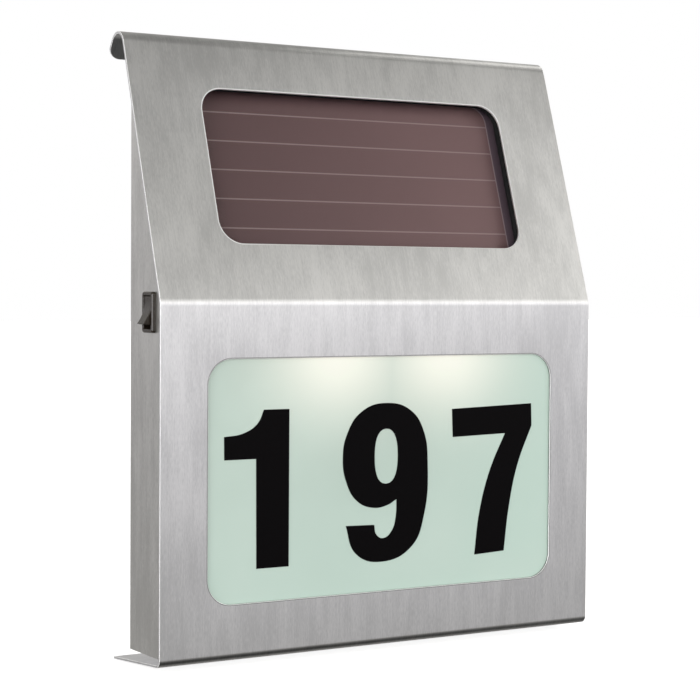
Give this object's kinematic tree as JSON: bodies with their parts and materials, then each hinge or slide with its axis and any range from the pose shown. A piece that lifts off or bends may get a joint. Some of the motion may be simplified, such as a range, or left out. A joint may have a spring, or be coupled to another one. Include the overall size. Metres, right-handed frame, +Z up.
{
  "type": "illuminated house number sign",
  "caption": "House number sign of bent stainless sheet with a lit opal window, a slanted solar window, folded side cheeks, a rounded top hook, a lower flange and a rocker switch.",
  "frame": {"origin": "seat of the hook: the top of the inside of the rounded hook, in the middle of the sign's width", "axes": "+X to the right as seen from the front, +Y to the back towards the wall, +Z up"},
  "size_m": [0.2024, 0.0484, 0.2424],
  "materials": {
    "stainless": "fine vertical grain",
    "zinc": "bright zinc",
    "opal": "opal acrylic, satin",
    "white_tray": "white reflector",
    "lamp": "clear epoxy lamp",
    "board_green": "circuit board",
    "glass": "clear front glass",
    "cell_brown": "thin-film cells",
    "tin": "tinned tab",
    "housing_grey": "moulded",
    "foam": "closed-cell foam",
    "cell_sleeve": "plain printed sleeve",
    "spring_steel": "nickel plated",
    "part_black": "component",
    "switch_black": "glossy moulded",
    "lead_black": "insulated lead"
  },
  "bodies": {
    "sign": {"front_cover": "stainless", "cover_studs": "stainless", "stud_nuts": "zinc", "left_cheek": "stainless", "right_cheek": "stainless", "number_window": "opal", "window_gasket": "foam", "reflector": "white_tray", "led_board": "board_green", "leds": "lamp", "solar_gasket": "foam", "solar_glass": "glass", "solar_cells": "cell_brown", "solar_tabs": "tin", "housing": "housing_grey", "rim_seal": "foam", "rear_cover": "housing_grey", "rear_seal": "foam", "rear_screws": "zinc", "battery_tray": "housing_grey", "battery_lower": "cell_sleeve", "battery_upper": "cell_sleeve", "battery_contacts": "spring_steel", "control_board": "board_green", "board_parts": "part_black", "board_screws": "zinc", "switch_body": "switch_black", "switch_terminals": "tin", "led_wires": "lead_black", "battery_wires": "lead_black", "switch_wires": "lead_black", "solar_wires": "lead_black"},
    "rocker": {"switch_rocker": "switch_black"},
    "door": {"battery_door": "housing_grey", "door_seal": "foam", "door_screws": "zinc"}
  },
  "joints": [
    {"name": "rocker_hinge", "type": "hinge", "parent": "sign", "child": "rocker", "pos_m": [-0.0978, -0.02612, -0.10639], "axis": [0, 1, 0], "range_deg": [-32, 0]},
    {"name": "door_lift_off", "type": "slide", "parent": "sign", "child": "door", "axis": [0, 1, 0], "range_m": [0, 0.03]}
  ]
}
